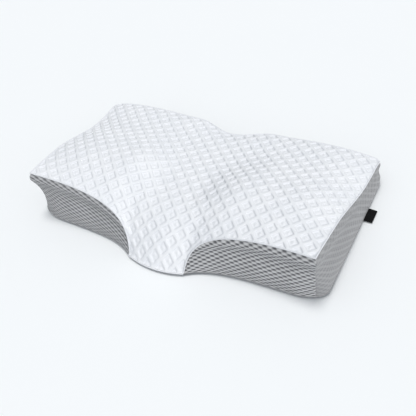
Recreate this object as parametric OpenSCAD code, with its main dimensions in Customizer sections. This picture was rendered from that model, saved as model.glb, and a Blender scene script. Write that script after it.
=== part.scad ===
// Contoured neck-support pillow: a moulded foam core in a sewn liner, inside a zipped cover
// with a quilted white top, a grey mesh side band and a grey base.
// +X is the sleeper's right, +Y is away from the neck edge, +Z is up, and z = 0 is the base.

/* [Pillow] */
// Half of the top panel's length at its front corners
front_half = 300; // [285:1:320]
// Half of the top panel's length at its back corners
back_half = 310; // [300:1:330]
// Depth from the front corners to the back seam
depth = 311; // [300:1:350]
// Half of the base's length at its widest
base_half = 316; // [312:1:340]
// How far the back wall stands behind the back seam
back_bulge = 3; // [1:1:12]
// How far the back seam curves in at the middle
notch_depth = 25; // [10:1:32]
// Half of the width of that curve
notch_half = 92; // [60:1:140]

/* [Sleeping surface] */
// Height of the side wings at the front
wing_high = 112; // [100:1:120]
// Height of the side wings at the back
wing_low = 66; // [60:1:80]
// Depth of the neck channel below the wings
channel_depth = 24; // [15:1:36]
// Depth of the channel at the back seam
channel_end = 4; // [0:1:8]

/* [Neck tongue] */
// Half of the tongue's width where it meets the base
tongue_half = 60; // [45:1:80]
// How far the tongue's middle reaches in front of the corners
tongue_reach = 54; // [48:1:64]
// How far the tongue's roots reach in front of the corners
tongue_root = 44; // [34:1:50]
// Distance over which the front edge rolls up to full height
roll_length = 110; // [80:1:120]

/* [Front seam] */
// How far the seam runs back from the tongue's root before it turns to the corner
seam_back_run = 61; // [45:1:65]
// How far it comes forward again by the corner
seam_forward_run = 14; // [8:1:24]
// Height that it gains close to the tongue
seam_rise = 93; // [80:1:96]
// Height that it gains evenly on the way to the corner
seam_slope = 14; // [8:1:18]

/* [Layers] */
// Thickness of the cover fabrics
cover_t = 2.2; // [1.6:0.1:2.6]
// Thickness of the knitted inner liner
liner_t = 0.8; // [0.5:0.1:1.0]
// Thickness of the base panel
base_t = 2; // [1.4:0.1:2.2]

/* [Zip] */
// Height of the zip's centre line above the base
zip_z = 16; // [14:1:26]
// Half of the zip chain's length
zip_half = 243; // [200:1:246]
// Half of the gap between the two back strips
zip_gap = 6; // [5.5:0.5:7]
// Length of the pull tab
pull_length = 27; // [18:1:34]

/* [Label] */
// Length of the folded side label along the seam
label_length = 31.5; // [20:1:50]
// How far the side label sticks out
label_reach = 17; // [10:1:25]
// Where the middle of the side label lies along the depth
label_y = 205; // [100:1:240]

/* [Hidden] */

WHITE = [0.93, 0.94, 0.96];
LINER = [0.96, 0.96, 0.94];
FOAM = [0.97, 0.94, 0.85];
GREY = [0.58, 0.59, 0.61];
BLACK = [0.05, 0.05, 0.05];
TAPE = [0.52, 0.53, 0.55];
METAL = [0.62, 0.63, 0.65];

eps = 0.01;
gap = 0.1;                                // clearance between flat layers that lie on each other
layer_gap = 0.25;                         // clearance between curved layers
centre_y = (depth - tongue_reach) / 2;    // the layers shrink towards this line
half_depth = depth - centre_y + back_bulge;
back_y = depth + back_bulge;              // outer face of the straight back wall
base_front = -10;                         // front of the base outline beside the tongue
root_fade = 47;                           // how fast that outline leaves the tongue's root
run_reach = 40;                           // how fast the seam runs back from the root
rise_reach = 29;                          // how fast the seam rises from the root
corner_u = 0.85;                          // share of the half length where a corner begins
corner_t = 0.14;                          // share of the depth taken by a corner
corner_in = 30;                           // depth of the base outline's rounded corners
step_front = 83;                          // where the wings begin to slope down to the back
step_back = 288;                          // where that slope ends
edge_width = 38;                          // how far before the back seam the surface rolls down
edge_fall = 10;
channel_from = 78;                        // where the channel begins to fade
channel_to = 278;                         // where it has faded
flank_in = 30;                            // foot of the channel's flank, from the middle
flank_out = 125;                          // top of the flank
spread_from = 128;                        // where the flanks begin to spread
spread_rate = 0.35;
crown_from = 200;                         // where the wings begin to fall to the sides, from the middle
crown_fall = 23;                          // their greatest fall, at mid depth
crown_front = -52;                        // where that fall begins along the depth
crown_full = 178;                         // where it is complete
crown_back = 298;                         // where it has eased again
crown_ease = 12;
hem_z = base_t + 0.6;                     // height of the top panel's edge at the tongue
strip_low = zip_z - zip_gap;              // top edge of the lower back strip
strip_high = zip_z + zip_gap;             // bottom edge of the upper back strip

// ---- shape functions -------------------------------------------------------------------

function mix(a, b, t) = a + (b - a) * t;
function limit(v) = min(1, max(0, v));
function smooth(a, b, v) = let (t = limit((v - a) / (b - a))) t * t * (3 - 2 * t);

// How far a front curve has climbed, 0 at the tongue's root and near 1 at the corner
function climb(s, reach) = 1 - exp(-pow(max(0, s - tongue_half) / reach, 0.6));
function share_out(s) = max(0, s - tongue_half) / (front_half - tongue_half);

// The top panel's front edge: its place and height at a distance s from the middle
function tongue_curve(s) = -tongue_reach + (tongue_reach - tongue_root) * pow(min(1, s / tongue_half), 2);
function seam_front(s) =
    tongue_curve(s) + seam_back_run * climb(s, run_reach) - seam_forward_run * pow(share_out(s), 2);
function seam_front_z(s) = hem_z + seam_rise * climb(s, rise_reach) + seam_slope * share_out(s);

// The top panel's back edge
function seam_back(s) = depth - notch_depth * (s < notch_half ? 0.5 + 0.5 * cos(180 * s / notch_half) : 0);

// The moulded surface: two domed wings that slope down to the back, and a channel between them
function crown(s, y) =
    (crown_fall * smooth(crown_front, crown_full, y) - crown_ease * smooth(crown_full + 10, crown_back, y))
    * pow(max(0, s - crown_from) / (front_half - crown_from), 2);
function wing_z(s, y) = mix(wing_high, wing_low, smooth(step_front, step_back, y)) - crown(s, y)
    - edge_fall * pow(limit(1 - (seam_back(s) - y) / edge_width), 2);
function channel_z(y) = mix(channel_depth, channel_end, smooth(channel_from, channel_to, y));
function flank(s, y) =
    let (spread = spread_rate * max(0, y - spread_from))
    smooth(flank_in + spread, flank_out + spread, s);
function moulded_z(s, y) = wing_z(s, y) - channel_z(y) * (1 - flank(s, y));
function surface_z(s, y) =
    let (front = seam_front(s), drop = moulded_z(s, front) - seam_front_z(s))
    moulded_z(s, y) - drop * pow(1 - limit((y - front) / roll_length), 2.4);

// The base outline, matched point for point with the top panel's edge
function base_front_y(s) = s <= tongue_half ? tongue_curve(s)
    : base_front - (base_front + tongue_root) * exp(-(s - tongue_half) / root_fade);
function base_on_front(u) =
    let (s = abs(u) * front_half, x0 = corner_u * front_half, a = 45 * (abs(u) - corner_u) / (1 - corner_u))
    abs(u) <= corner_u ? [u * front_half, base_front_y(s)]
    : [sign(u) * (x0 + (base_half - x0) * sin(a)), base_front_y(x0) + corner_in * (1 - cos(a))];
function base_on_back(u) =
    let (x0 = corner_u * back_half, a = 45 * (abs(u) - corner_u) / (1 - corner_u))
    abs(u) <= corner_u ? [u * back_half, back_y]
    : [sign(u) * (x0 + (base_half - x0) * sin(a)), back_y - corner_in * (1 - cos(a))];
function base_on_side(t) =
    let (x0 = corner_u * front_half, x1 = corner_u * back_half,
         y0 = base_front_y(x0) + corner_in, y1 = back_y - corner_in)
    t < corner_t ? let (a = 45 + 45 * t / corner_t)
        [x0 + (base_half - x0) * sin(a), y0 - corner_in * cos(a)]
    : t > 1 - corner_t ? let (a = 45 + 45 * (1 - t) / corner_t)
        [x1 + (base_half - x1) * sin(a), y1 + corner_in * cos(a)]
    : [base_half, mix(y0, y1, (t - corner_t) / (1 - 2 * corner_t))];

// ---- layers ----------------------------------------------------------------------------

// A layer d inside the outer skin: narrower, shallower and lower, but never below d at its edge
function inset(p, d) = [
    p[0] * (1 - d / front_half),
    centre_y + (p[1] - centre_y) * (1 - 1.3 * d / half_depth),
    p[2] - d + (2 * d + 0.6 * sign(d)) * exp(-p[2] / 12)
];

// Stations across the half length: even on the tongue, close together beside it, even at the corner
steps_tongue = 5;
steps_wing = 12;
steps_corner = 4;
half_stations = concat(
    [for (i = [0:steps_tongue - 1]) tongue_half / front_half * i / steps_tongue],
    [for (i = [0:steps_wing - 1]) mix(tongue_half / front_half, corner_u, pow(i / steps_wing, 1.5))],
    [for (i = [0:steps_corner]) mix(corner_u, 1, i / steps_corner)]
);
US = concat([for (i = [len(half_stations) - 1:-1:1]) -half_stations[i]], half_stations);

// Stations along the depth: close together at the front roll and at both corners
steps_depth = 13;
TS = concat(
    [for (i = [0:steps_corner - 1]) corner_t * i / steps_corner],
    [for (i = [0:steps_depth - 1]) mix(corner_t, 1 - corner_t, i / steps_depth)],
    [for (i = [0:steps_corner]) mix(1 - corner_t, 1, i / steps_corner)]
);
NU = len(US) - 1;
NT = len(TS) - 1;

function skin_point(u, t) =
    let (s = abs(u) * front_half, y = mix(seam_front(s), seam_back(abs(u) * back_half), t))
    [u * mix(front_half, back_half, t), y, surface_z(s, y)];
function skin_grid(d) = [for (t = TS) [for (u = US) inset(skin_point(u, t), d)]];

// The side wall stands straight on the base, then leans out in a soft S to the overhanging seam;
// at the back it leans evenly from the zip to the seam
wall_rows = [0, 0.12, 0.27, 0.43, 0.6, 0.78, 1]; // rows of the leaning part, from the seam down
seam_gap = 0.25;                          // clearance between the wall and the top panel's edge
side_straight = 0.15;                     // straight share of the wall at the front and the sides
function backness(seam) = smooth(depth - notch_depth - 30, depth - notch_depth, seam[1]);
function straight_share(seam) = mix(side_straight, strip_high / seam[2], backness(seam));
function wall_column(seam, base, d, low) =
    let (p = inset(seam, d), b = inset([base[0], base[1], 0], d),
         knee = max(low + gap, straight_share(seam) * seam[2]))
    concat(
        [for (w = wall_rows)
            let (lean = mix(smooth(0, 0.94, 1 - w), 1 - w, backness(seam)))
            [mix(b[0], p[0], lean), mix(b[1], p[1], lean), mix(p[2] - seam_gap, knee, w)]],
        [[b[0], b[1], low]]
    );

// Columns of the wall in order round the pillow, seen from above and against the clock
function front_columns(i0, i1, d, low) =
    [for (i = [i0:i1]) wall_column(skin_point(US[i], 0), base_on_front(US[i]), d, low)];
function side_columns(sx, j0, j1, d, low) =
    [for (j = [j0:j1]) let (b = base_on_side(TS[j]))
        wall_column(skin_point(sx, TS[j]), [sx * b[0], b[1]], d, low)];
function back_columns(i0, i1, d, low) =
    [for (i = [i0:i1]) wall_column(skin_point(US[i], 1), base_on_back(US[i]), d, low)];
function reversed(list) = [for (i = [len(list) - 1:-1:0]) list[i]];
function without_last(list) = [for (i = [0:len(list) - 2]) list[i]];

first_corner = steps_corner;              // station where the left corners end
last_corner = NU - steps_corner;          // station where the right corners begin
root_left = NU / 2 - steps_tongue;        // station of the tongue's left root
root_right = NU / 2 + steps_tongue;       // station of the tongue's right root

function round_columns(d, low) = concat(
    without_last(front_columns(0, NU, d, low)),
    without_last(side_columns(1, 0, NT, d, low)),
    without_last(reversed(back_columns(0, NU, d, low))),
    without_last(reversed(side_columns(-1, 0, NT, d, low)))
);

// ---- solids from grids -----------------------------------------------------------------

function flat(lists) = [for (list = lists) each list];

// Triangles over a grid of rows and columns whose points start at index o
function grid_faces(rows, cols, o, flip) = [
    for (r = [0:rows - 2], c = [0:cols - 2])
        let (a = o + r * cols + c, b = a + 1, e = a + cols, f = e + 1)
        each (flip ? [[a, b, f], [a, f, e]] : [[a, f, b], [a, e, f]])
];
// The index of each point round the edge of that grid, in order
function rim(rows, cols) = concat(
    [for (c = [0:cols - 2]) c],
    [for (r = [0:rows - 2]) r * cols + cols - 1],
    [for (c = [cols - 1:-1:1]) (rows - 1) * cols + c],
    [for (r = [rows - 1:-1:1]) r * cols]
);

// A closed sheet between two grids of the same size, the second one on the inner side
module sheet(outer, inner) {
    rows = len(outer);
    cols = len(outer[0]);
    n = rows * cols;
    edge = rim(rows, cols);
    m = len(edge);
    polyhedron(
        points = concat(flat(outer), flat(inner)),
        faces = concat(
            grid_faces(rows, cols, 0, false),
            grid_faces(rows, cols, n, true),
            [for (k = [0:m - 1]) let (a = edge[k], b = edge[(k + 1) % m])
                each [[a, b, n + b], [a, n + b, n + a]]]
        ),
        convexity = 10
    );
}

// A full ring of wall between two layers
module wall_ring(outer, inner) {
    m = len(outer);
    rows = len(outer[0]);
    n = m * rows;
    polyhedron(
        points = concat(flat(outer), flat(inner)),
        faces = concat(
            [for (k = [0:m - 1], r = [0:rows - 2])
                let (k2 = (k + 1) % m, a = k * rows + r, b = k2 * rows + r)
                each [[a, b, b + 1], [a, b + 1, a + 1],
                      [n + a, n + b + 1, n + b], [n + a, n + a + 1, n + b + 1]]],
            [for (k = [0:m - 1])
                let (k2 = (k + 1) % m, a = k * rows, b = k2 * rows, e = a + rows - 1, f = b + rows - 1)
                each [[a, n + b, b], [a, n + a, n + b], [e, f, n + f], [e, n + f, n + e]]]
        ),
        convexity = 10
    );
}

// ---- sub-parts -------------------------------------------------------------------------

liner_d = cover_t + layer_gap;            // outer face of the liner
core_d = liner_d + liner_t + layer_gap;   // outer face of the foam core
wall_low = base_t + gap;                  // bottom edge of the wall's layers
core_low = wall_low + liner_t + gap;      // underside of the foam core
end_row = len(wall_rows);                 // the last row of a wall, at its bottom edge

// The moulded foam block: one closed surface from the top grid, the wall and the flat underside
module foam_core() {
    top = flat(skin_grid(core_d));
    edge = rim(NT + 1, NU + 1);
    m = len(edge);
    walls = round_columns(core_d, core_low);
    n = len(top);
    middle = n + m * end_row;
    function at(k, r) = r == 0 ? edge[k % m] : n + (k % m) * end_row + r - 1;
    color(FOAM)
    polyhedron(
        points = concat(top, [for (column = walls) for (r = [1:end_row]) column[r]],
                        [[0, centre_y, core_low]]),
        faces = concat(
            grid_faces(NT + 1, NU + 1, 0, false),
            [for (k = [0:m - 1], r = [0:end_row - 1])
                each [[at(k, r), at(k + 1, r), at(k + 1, r + 1)],
                      [at(k, r), at(k + 1, r + 1), at(k, r + 1)]]],
            [for (k = [0:m - 1]) [at(k, end_row), at(k + 1, end_row), middle]]
        ),
        convexity = 10
    );
}

module liner_top() {
    color(LINER)
    sheet(skin_grid(liner_d), skin_grid(liner_d + liner_t));
}

module liner_wall() {
    outer = round_columns(liner_d, wall_low);
    inner = round_columns(liner_d + liner_t, wall_low);
    color(LINER)
    wall_ring(outer, inner);
}

// Outline of a flat layer on the base, d inside the outer skin
function base_outline(d) = [
    for (column = round_columns(d, wall_low)) [column[end_row][0], column[end_row][1]]
];

module liner_base() {
    color(LINER)
    translate([0, 0, wall_low])
    linear_extrude(liner_t)
    polygon(base_outline(core_d));
}

module cover_top_panel() {
    color(WHITE)
    sheet(skin_grid(0), skin_grid(cover_t));
}

module cover_bottom_panel() {
    color(GREY)
    linear_extrude(base_t)
    polygon(base_outline(0));
}

module gusset_front(i0, i1) {
    color(GREY)
    sheet(front_columns(i0, i1, 0, base_t), front_columns(i0, i1, cover_t, base_t));
}

module gusset_front_left() {
    gusset_front(0, root_left);
}

module gusset_front_right() {
    gusset_front(root_right, NU);
}

// A side band runs from the front corner, round the back corner, to the back strips
function right_columns(d) = concat(
    without_last(side_columns(1, 0, NT, d, base_t)),
    reversed(back_columns(last_corner, NU, d, base_t))
);
function left_columns(d) = concat(
    without_last(reversed(back_columns(0, first_corner, d, base_t))),
    reversed(side_columns(-1, 0, NT, d, base_t))
);

module gusset_right_side() {
    color(GREY)
    sheet(right_columns(0), right_columns(cover_t));
}

module gusset_left_side() {
    color(GREY)
    sheet(left_columns(0), left_columns(cover_t));
}

function back_strip(d) = [
    for (column = reversed(back_columns(first_corner, last_corner, d, base_t))) without_last(column)
];

module gusset_back_upper() {
    color(GREY)
    sheet(back_strip(0), back_strip(cover_t));
}

// Plan of the straight back wall from x0 to its end at the right back corner
back_end = corner_u * back_half;
back_in = inset([back_end, back_y, 0], cover_t);
module back_plan(x0, x0_in) {
    polygon([[x0, back_y], [back_end, back_y], [back_in[0], back_in[1]], [x0_in, back_in[1]]]);
}

module gusset_back_lower() {
    color(GREY)
    translate([0, 0, base_t])
    linear_extrude(strip_low - base_t)
    back_plan(-back_end, -back_in[0]);
}

// ---- zip -------------------------------------------------------------------------------

tape_half = 249;                          // half of the tape's length
tape_t = 0.6;
tape_y = back_y - 1.8;                    // inner face of the tape
tape_slit = 0.6;                          // half of the slit between the tapes
coil_r = 1.1;
coil_y = back_y + 0.05;
coil_z = 1.7;                             // height of a coil's axis above or below the centre line
stop_size = [2.5, 2.5, 5.4];
coil_half = zip_half - stop_size[0];

module tape(side) {
    color(TAPE)
    translate([-tape_half, tape_y, side > 0 ? zip_z + tape_slit : strip_low + gap])
    cube([2 * tape_half, tape_t, zip_gap - tape_slit - gap]);
}

module zip_tape_upper() {
    tape(1);
}

module zip_tape_lower() {
    tape(-1);
}

module coil(side) {
    color(BLACK + [0.35, 0.35, 0.36])
    translate([-coil_half, coil_y, zip_z + side * coil_z])
    rotate([0, 90, 0])
    cylinder(h = 2 * coil_half, r = coil_r, $fn = 24);
}

module zip_coil_upper() {
    coil(1);
}

module zip_coil_lower() {
    coil(-1);
}

// A crimped stop closes the chain at each end
module stop(side) {
    color(METAL)
    translate([side * (coil_half + gap + stop_size[0] / 2),
               tape_y + tape_t + gap / 2 + stop_size[1] / 2, zip_z])
    cube(stop_size, center = true);
}

module zip_top_stop() {
    stop(1);
}

module zip_bottom_stop() {
    stop(-1);
}

// A fabric tab covers each end of the opening
module end_tab() {
    color(GREY)
    translate([0, 0, strip_low])
    linear_extrude(2 * zip_gap)
    back_plan(tape_half + gap, tape_half + gap);
}

module zip_end_tab_right() {
    end_tab();
}

module zip_end_tab_left() {
    mirror([1, 0, 0]) end_tab();
}

// The slider: an outer and an inner plate joined by a neck that runs in the slit between the tapes
slider_half = 5.5;
slider_x = coil_half - slider_half - 0.5; // closed position
slider_wide = 4.3;                        // half of the slider's width
plate_out = coil_y + coil_r + 0.35;       // inner face of the outer plate
plate_t = 1;
plate_in = tape_y - 0.95;                 // inner face of the inner plate
plate_in_t = 0.7;
flange_t = 1;
flange_y = tape_y + tape_t + 0.3;         // edge of the flanges, clear of the tape

// Draws in the plane of the back wall: x along the zip, y up; then stands it up on that wall
module on_back_wall(y, t) {
    translate([slider_x, y + t, zip_z])
    rotate([90, 0, 0])
    linear_extrude(t)
    children();
}

module slider_outline() {
    waist = slider_wide - 1;
    polygon([[-slider_half, -waist], [-slider_half + 2, -slider_wide], [slider_half, -slider_wide],
             [slider_half, slider_wide], [-slider_half + 2, slider_wide], [-slider_half, waist]]);
}

module slider_body() {
    neck = [2, tape_slit * 1.5];
    color(METAL) {
        on_back_wall(plate_out, plate_t) slider_outline();
        on_back_wall(plate_in, plate_in_t) slider_outline();
        on_back_wall(plate_in + plate_in_t, plate_out - plate_in - plate_in_t)
            translate([slider_half - 2, 0]) square(neck, center = true);
        for (side = [-1, 1])
            on_back_wall(flange_y, plate_out - flange_y)
                translate([1, side * (slider_wide - flange_t / 2)])
                square([2 * slider_half - 2, flange_t], center = true);
    }
}

bridge_half = 3.8;                        // half of the bridge's length
bridge_wide = 2;
bridge_rise = 2.6;                        // its height above the outer plate
bridge_wire = 0.8;
pull_t = 1.1;
pull_wide = 5.6;
pull_y = plate_out + plate_t + 0.2 + pull_t / 2; // axis of the pull tab
pull_eye = 5;                             // length of the eye from the axis

module slider_bridge() {
    foot = plate_out + plate_t;
    color(METAL)
    translate([slider_x, foot, zip_z - bridge_wide / 2])
    linear_extrude(bridge_wide)
    difference() {
        translate([-bridge_half, 0]) square([2 * bridge_half, bridge_rise]);
        translate([bridge_wire - bridge_half, -eps])
            square([2 * (bridge_half - bridge_wire), bridge_rise - bridge_wire + eps]);
    }
}

// The pull tab hangs on a round bar that turns under the bridge, and lies towards -X at rest
module pull_tab() {
    color(METAL) {
        translate([slider_x, pull_y, zip_z])
            cylinder(h = pull_wide, r = pull_t / 2, center = true, $fn = 24);
        on_back_wall(pull_y - pull_t / 2, pull_t)
            difference() {
                union() {
                    translate([-pull_length + pull_wide / 2, -pull_wide / 2])
                        square([pull_length - pull_wide / 2, pull_wide]);
                    translate([-pull_length + pull_wide / 2, 0]) circle(d = pull_wide, $fn = 32);
                }
                translate([-pull_eye, -bridge_wide / 2 - 0.4])
                    square([pull_eye - pull_t / 2, bridge_wide + 0.8]);
                translate([-pull_length + pull_wide / 2, 0]) circle(d = 2.4, $fn = 24);
            }
    }
}

// ---- label -----------------------------------------------------------------------------

label_z = base_t + 0.9;
label_t = 1;                              // thickness of both layers
label_slit = 0.3;
label_x = base_half + 0.3 + label_t / 2;  // axis of its rounded root, clear of the side band

// A woven ribbon folded in half, its fold outwards and both ends in the base seam
module side_label() {
    color(BLACK)
    translate([label_x, label_y + label_length / 2, label_z])
    rotate([90, 0, 0])
    linear_extrude(label_length)
    difference() {
        union() {
            translate([0, -label_t / 2]) square([label_reach - label_t, label_t]);
            for (x = [0, label_reach - label_t])
                translate([x, 0]) circle(d = label_t, $fn = 24);
        }
        translate([label_t, -label_slit / 2]) square([label_reach - 2.5 * label_t, label_slit]);
    }
}

foam_core();
liner_top();
liner_wall();
liner_base();
cover_top_panel();
cover_bottom_panel();
gusset_front_left();
gusset_front_right();
gusset_left_side();
gusset_right_side();
gusset_back_upper();
gusset_back_lower();
zip_tape_upper();
zip_tape_lower();
zip_coil_upper();
zip_coil_lower();
zip_top_stop();
zip_bottom_stop();
zip_end_tab_left();
zip_end_tab_right();
slider_body();
slider_bridge();
pull_tab();
side_label();
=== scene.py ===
"""Visual model of the contoured neck-support pillow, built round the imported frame."""

import math

import bpy
import numpy as np
from mathutils import Matrix, Vector


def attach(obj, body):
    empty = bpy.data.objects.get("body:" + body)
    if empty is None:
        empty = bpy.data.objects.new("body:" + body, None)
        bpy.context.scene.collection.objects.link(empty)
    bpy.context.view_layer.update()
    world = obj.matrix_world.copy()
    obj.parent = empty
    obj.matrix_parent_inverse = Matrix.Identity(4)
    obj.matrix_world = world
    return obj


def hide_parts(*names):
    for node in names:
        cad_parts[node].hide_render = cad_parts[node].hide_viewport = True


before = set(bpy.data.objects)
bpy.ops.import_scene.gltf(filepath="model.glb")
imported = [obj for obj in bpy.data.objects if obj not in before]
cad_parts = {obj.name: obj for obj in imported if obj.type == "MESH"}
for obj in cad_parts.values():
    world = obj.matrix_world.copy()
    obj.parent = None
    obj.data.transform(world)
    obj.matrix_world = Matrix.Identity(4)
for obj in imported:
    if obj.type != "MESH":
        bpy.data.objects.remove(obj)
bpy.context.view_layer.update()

# ---- sizes in millimetres, as in the CAD source ------------------------------------------
FRONT_HALF, BACK_HALF, DEPTH, BASE_HALF, BULGE = 300.0, 310.0, 311.0, 316.0, 3.0
NOTCH_DEPTH, NOTCH_HALF = 25.0, 92.0
WING_HIGH, WING_LOW, CHANNEL, CHANNEL_END = 112.0, 66.0, 24.0, 4.0
TONGUE_HALF, TONGUE_REACH, TONGUE_ROOT, ROLL = 60.0, 54.0, 44.0, 110.0
SEAM_BACK, SEAM_FORWARD, SEAM_RISE, SEAM_SLOPE = 61.0, 14.0, 93.0, 14.0
BASE_T, HEM_Z = 2.0, 2.6
ZIP_Z, ZIP_HALF, ZIP_GAP, TAPE_HALF = 16.0, 243.0, 6.0, 249.0
LABEL_LENGTH, LABEL_REACH, LABEL_Y, LABEL_Z = 31.5, 17.0, 205.0, 2.9
BASE_FRONT, ROOT_FADE, CORNER_U, CORNER_T, CORNER_IN = -10.0, 47.0, 0.85, 0.14, 30.0
BACK_Y = DEPTH + BULGE
ROUNDING = 3.6  # how far the top panel's back corners are rounded off
CENTRE_Y = (DEPTH - TONGUE_REACH) / 2
HALF_DEPTH = DEPTH - CENTRE_Y + BULGE
STRIP_LOW, STRIP_HIGH = ZIP_Z - ZIP_GAP, ZIP_Z + ZIP_GAP
CELL = 21.3  # side of a quilting square with its band
# The bands are one cloth, but each part of it has its own setting here, fitted to how that band
# looks and not measured on a cloth: cycles per millimetre, along and up, of the two slanting sets
# of threads, and how much of the pattern the first set makes.
WEAVE_RIGHT = ((0.065, -0.105), (0.044, 0.143), 0.5)
WEAVE_LEFT = ((0.053, -0.105), (0.056, 0.14), 0.3)
WEAVE_SIDE = ((0.065, 0.09), (0.05, -0.13), 0.6)
RIGHT_SIDE_TAPER = 0.45  # how much taller the right side's cells grow towards the back
# The lip of a band: how far it stands out, its middle as a share of the height, and its width.
LIP_ROLL, LIP_HOLLOW, LIP_BELLY = (5.4, 0.86, 0.11), (1.6, 0.6, 0.16), 1.6
# How far the left front corner draws in, its foot creeps forward, and the base's front edge curls
# forward and up.
DRAWN_IN, CREPT, CURL_FORWARD, CURL_UP = 14.0, 3.5, 1.5, 3.5
QUILT_RECESS, QUILT_PUFF, QUILT_BOSS, QUILT_BAND = 2.6, 0.7, 0.4, 0.1
FLOOR_HALF, FLOOR_Z = 40.0, -0.0004  # in metres


def mix(a, b, t):
    return a + (b - a) * t


def smooth(a, b, v):
    t = np.clip((v - a) / (b - a), 0, 1)
    return t * t * (3 - 2 * t)


def climb(s, reach):
    return 1 - np.exp(-((np.maximum(0, s - TONGUE_HALF) / reach) ** 0.6))


def share_out(s):
    return np.maximum(0, s - TONGUE_HALF) / (FRONT_HALF - TONGUE_HALF)


def tongue_curve(s):
    return -TONGUE_REACH + (TONGUE_REACH - TONGUE_ROOT) * np.minimum(1, s / TONGUE_HALF) ** 2


def seam_front(s):
    return tongue_curve(s) + SEAM_BACK * climb(s, 40) - SEAM_FORWARD * share_out(s) ** 2


def seam_front_z(s):
    return HEM_Z + SEAM_RISE * climb(s, 29) + SEAM_SLOPE * share_out(s)


def seam_back(s):
    return DEPTH - NOTCH_DEPTH * np.where(s < NOTCH_HALF, 0.5 + 0.5 * np.cos(np.pi * s / NOTCH_HALF), 0)


def wing_z(s, y):
    side = np.maximum(0, s - 200) / (FRONT_HALF - 200)
    crown = (23 * smooth(-52, 178, y) - 12 * smooth(188, 298, y)) * side**2
    edge = 10 * np.clip(1 - (seam_back(s) - y) / 38, 0, 1) ** 2
    return mix(WING_HIGH, WING_LOW, smooth(83, 288, y)) - crown - edge


def moulded_z(s, y):
    spread = 0.35 * np.maximum(0, y - 128)
    channel = mix(CHANNEL, CHANNEL_END, smooth(78, 278, y))
    return wing_z(s, y) - channel * (1 - smooth(30 + spread, 125 + spread, s))


def seam_tables():
    """Where the front seam lies and how far the surface drops to it, exact and smoothed out."""
    s = np.arange(0, 340, 0.5)
    front = seam_front(s)
    drop = moulded_z(s, front) - seam_front_z(s)
    window = np.hanning(93)[1:-1]

    def blurred(row):
        wide = np.concatenate([row[45:0:-1], row, np.full(45, row[-1])])
        return np.convolve(wide, window / window.sum(), mode="valid")

    return s, front, drop, blurred(front), blurred(drop)


SEAM = seam_tables()


def surface_z(s, y):
    front, drop, soft_front, soft_drop = (np.interp(s, SEAM[0], row) for row in SEAM[1:])
    away = smooth(0, 0.3, (y - front) / ROLL)
    front, drop = mix(front, soft_front, away), mix(drop, soft_drop, away)
    return moulded_z(s, y) - drop * (1 - np.clip((y - front) / ROLL, 0, 1)) ** 2.4


def skin_point(u, t):
    """The outer surface at u from -1 to 1 across and t from 0 to 1 from front to back."""
    u, t = np.broadcast_arrays(np.asarray(u, float), np.asarray(t, float))
    s = np.abs(u) * FRONT_HALF
    y = mix(seam_front(s), seam_back(np.abs(u) * BACK_HALF), t)
    z = surface_z(s, y)
    corner = ROUNDING * (np.clip((np.abs(u) - 0.955) / 0.045, 0, 1) * np.clip((t - 0.955) / 0.045, 0, 1)) ** 2
    x = u * mix(FRONT_HALF, BACK_HALF, t) - np.sign(u) * corner
    return np.stack([x, y - corner, z], -1)


def inset(p, d):
    """The same point on a layer d inside the outer skin."""
    z = p[..., 2]
    low = z - d + (2 * d + 0.6 * np.sign(d)) * np.exp(-z / 12)
    y = CENTRE_Y + (p[..., 1] - CENTRE_Y) * (1 - 1.3 * d / HALF_DEPTH)
    return np.stack([p[..., 0] * (1 - d / FRONT_HALF), y, low], -1)


def base_front_y(s):
    fade = np.exp(-np.maximum(0, s - TONGUE_HALF) / ROOT_FADE)
    return np.where(s <= TONGUE_HALF, tongue_curve(s), BASE_FRONT - (BASE_FRONT + TONGUE_ROOT) * fade)


def round_corner(u, half, y0, way):
    """The base outline at u along the front or the back, with its rounded corners."""
    u = np.asarray(u, float)
    x0 = CORNER_U * half
    a = np.radians(45 * np.clip((np.abs(u) - CORNER_U) / (1 - CORNER_U), 0, 1))
    x = np.where(np.abs(u) <= CORNER_U, np.abs(u) * half, x0 + (BASE_HALF - x0) * np.sin(a))
    return np.stack([np.sign(u) * x, y0 + way * CORNER_IN * (1 - np.cos(a)), 0 * x], -1)


def base_on_front(u):
    s = np.minimum(np.abs(u), CORNER_U) * FRONT_HALF
    return round_corner(u, FRONT_HALF, base_front_y(s), 1)


def base_on_back(u):
    return round_corner(u, BACK_HALF, BACK_Y + 0 * np.asarray(u, float), -1)


def base_on_side(t):
    x0, x1 = CORNER_U * FRONT_HALF, CORNER_U * BACK_HALF
    y0, y1 = base_front_y(x0) + CORNER_IN, BACK_Y - CORNER_IN
    a = np.radians(45 + 45 * np.clip(t / CORNER_T, 0, 1))
    b = np.radians(45 + 45 * np.clip((1 - t) / CORNER_T, 0, 1))
    x = np.where(t < 0.5, x0 + (BASE_HALF - x0) * np.sin(a), x1 + (BASE_HALF - x1) * np.sin(b))
    straight = mix(y0, y1, (t - CORNER_T) / (1 - 2 * CORNER_T))
    y = np.where(t < CORNER_T, y0 - CORNER_IN * np.cos(a),
                 np.where(t > 1 - CORNER_T, y1 + CORNER_IN * np.cos(b), straight))
    return np.stack([x, y, 0 * x], -1)


def foot_table():
    """The base outline as a distance from the middle by direction."""
    u, t = np.linspace(-1, 1, 1501), np.linspace(0, 1, 900)
    right = base_on_side(t)
    ring = np.concatenate([base_on_front(u), right, right * [-1, 1, 1]])
    angle = np.arctan2(ring[:, 1] - CENTRE_Y, ring[:, 0])
    order = np.argsort(angle)
    return angle[order], np.hypot(ring[:, 0], ring[:, 1] - CENTRE_Y)[order]


FOOT = foot_table()


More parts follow.
